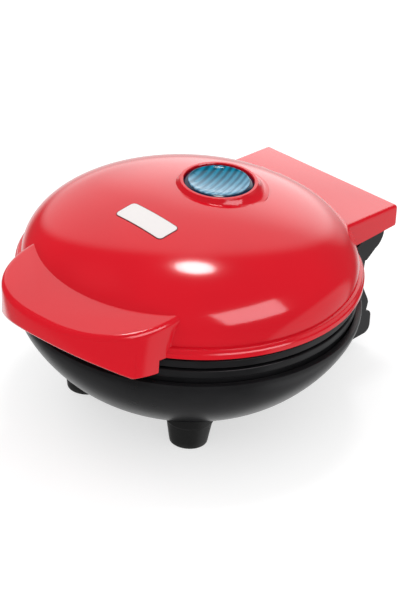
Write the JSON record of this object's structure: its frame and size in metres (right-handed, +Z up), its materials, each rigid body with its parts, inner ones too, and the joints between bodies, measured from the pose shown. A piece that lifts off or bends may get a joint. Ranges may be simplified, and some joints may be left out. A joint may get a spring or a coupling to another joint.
{
  "type": "mini waffle maker",
  "caption": "Mini waffle maker: glossy red domed lid with front handle and blue lens, hinged at the back to a black bowl base on four feet, waffle plates inside.",
  "frame": {"origin": "under the middle of the whole object, on the surface that its feet stand on", "axes": "+Z up, -Y towards the handle at the front, +Y towards the hinge at the back, +X to the right as seen from the handle"},
  "size_m": [0.127, 0.1598, 0.0827],
  "materials": {
    "red_gloss": "gloss",
    "black_satin": "satin",
    "black_rubber": "matte",
    "coated_aluminium": "satin non-stick coat",
    "bright_aluminium": "bright sheet",
    "element_sheath": "dull sheath",
    "zinc_steel": "zinc plated",
    "blue_lens": "clear blue gloss",
    "lamp_glass": "clear",
    "ceramic": "glazed ceramic",
    "lead_sleeve": "woven glass sleeve"
  },
  "bodies": {
    "base": {"base_housing": "black_satin", "base_frame": "black_satin", "lower_plate": "coated_aluminium", "lower_heater": "element_sheath", "lower_reflector": "bright_aluminium", "foot_front_left": "black_rubber", "foot_front_right": "black_rubber", "foot_rear_left": "black_rubber", "foot_rear_right": "black_rubber", "base_screw_front_left": "zinc_steel", "base_screw_front_right": "zinc_steel", "base_screw_rear_left": "zinc_steel", "base_screw_rear_right": "zinc_steel", "hinge_pin_left": "zinc_steel", "hinge_pin_right": "zinc_steel", "cord_gland": "black_rubber", "thermostat": "ceramic", "thermal_fuse": "ceramic", "terminal_block": "ceramic", "base_lead": "lead_sleeve", "lower_lead_left": "lead_sleeve", "lower_lead_right": "lead_sleeve"},
    "lid": {"lid_cover": "red_gloss", "lid_frame": "black_satin", "upper_plate": "coated_aluminium", "upper_heater": "element_sheath", "upper_reflector": "bright_aluminium", "indicator_lens": "blue_lens", "lamp_holder": "ceramic", "indicator_lamp": "lamp_glass", "upper_plate_screw_front_left": "zinc_steel", "upper_plate_screw_front_right": "zinc_steel", "upper_plate_screw_rear_left": "zinc_steel", "upper_plate_screw_rear_right": "zinc_steel", "lid_lead": "lead_sleeve", "lamp_lead": "lead_sleeve"}
  },
  "joints": [
    {"name": "lid_hinge", "type": "hinge", "parent": "base", "child": "lid", "pos_m": [0, 0.0697, 0.049], "axis": [-1, 0, 0], "range_deg": [0, 100]}
  ]
}
